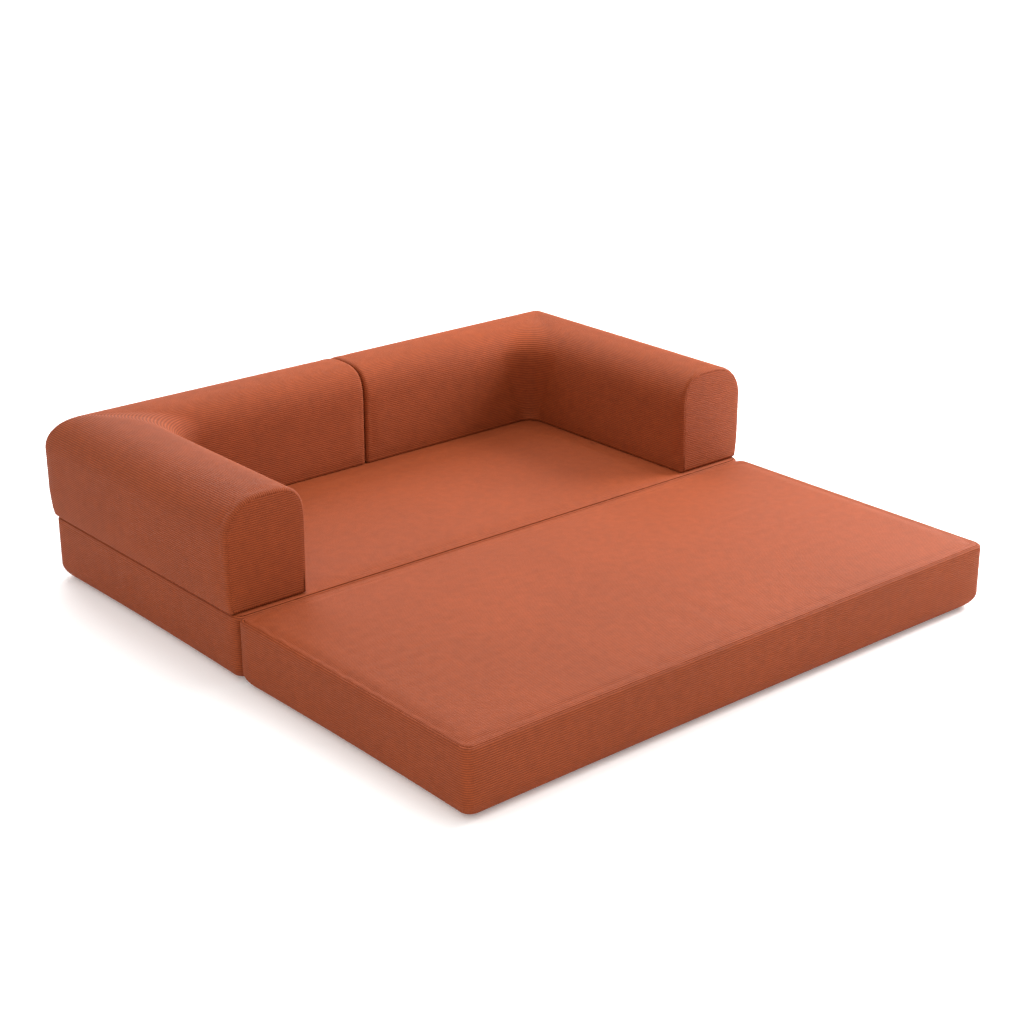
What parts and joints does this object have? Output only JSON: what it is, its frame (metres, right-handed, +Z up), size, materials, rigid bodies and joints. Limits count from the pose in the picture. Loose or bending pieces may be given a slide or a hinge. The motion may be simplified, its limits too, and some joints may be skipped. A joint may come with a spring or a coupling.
{
  "type": "modular sofa bed",
  "caption": "All-foam sofa bed opened flat: a hinged front slab beside a base slab that carries two L-shaped corner modules as its arms and back, in zipped ribbed covers.",
  "frame": {"origin": "on the floor, under the centre of the whole sofa bed's bounding box, opened as a bed", "axes": "X runs along the width, +Y points from the fold-out front slab to the back, +Z up"},
  "size_m": [2.026, 2.049, 0.5403],
  "materials": {
    "ribbed_cover": "terracotta fabric with fine raised ribs, soft sheen",
    "non_slip_cloth": "dark cloth with small rubbery dots",
    "support_foam": "firm open-cell foam",
    "comfort_foam": "soft open-cell foam",
    "zip_tape": "woven tape and moulded coil, dyed to match",
    "slider_metal": "plated zinc, satin"
  },
  "bodies": {
    "base_slab": {"base_cover": "ribbed_cover", "base_sole": "non_slip_cloth", "base_support_foam": "support_foam", "base_comfort_foam": "comfort_foam", "base_zip": "zip_tape", "hinge_leaf_base": "ribbed_cover"},
    "front_slab": {"front_cover": "ribbed_cover", "front_sole": "non_slip_cloth", "front_support_foam": "support_foam", "front_comfort_foam": "comfort_foam", "front_zip": "zip_tape", "hinge_leaf_front": "ribbed_cover"},
    "left_module": {"left_cover": "ribbed_cover", "left_sole": "non_slip_cloth", "left_back_foam": "support_foam", "left_arm_foam": "support_foam", "left_zip": "zip_tape"},
    "right_module": {"right_cover": "ribbed_cover", "right_sole": "non_slip_cloth", "right_back_foam": "support_foam", "right_arm_foam": "support_foam", "right_zip": "zip_tape"},
    "base_slider": {"base_zip_slider": "slider_metal"},
    "front_slider": {"front_zip_slider": "slider_metal"},
    "left_slider": {"left_zip_slider": "slider_metal"},
    "right_slider": {"right_zip_slider": "slider_metal"}
  },
  "joints": [
    {"name": "front_fold", "type": "hinge", "parent": "base_slab", "child": "front_slab", "pos_m": [0, -0.0215, 0.205], "axis": [-1, 0, 0], "range_deg": [0, 90]},
    {"name": "left_lift", "type": "slide", "parent": "base_slab", "child": "left_module", "axis": [0, 0, 1], "range_m": [0, 0.4]},
    {"name": "right_lift", "type": "slide", "parent": "base_slab", "child": "right_module", "axis": [0, 0, 1], "range_m": [0, 0.4]},
    {"name": "base_zip_travel", "type": "slide", "parent": "base_slab", "child": "base_slider", "axis": [1, 0, 0], "range_m": [0, 1.586]},
    {"name": "front_zip_travel", "type": "slide", "parent": "front_slab", "child": "front_slider", "axis": [0, -1, 0], "range_m": [0, 0.766]},
    {"name": "left_zip_travel", "type": "slide", "parent": "left_module", "child": "left_slider", "axis": [-1, 0, 0], "range_m": [0, 0.626]},
    {"name": "right_zip_travel", "type": "slide", "parent": "right_module", "child": "right_slider", "axis": [1, 0, 0], "range_m": [0, 0.626]}
  ]
}
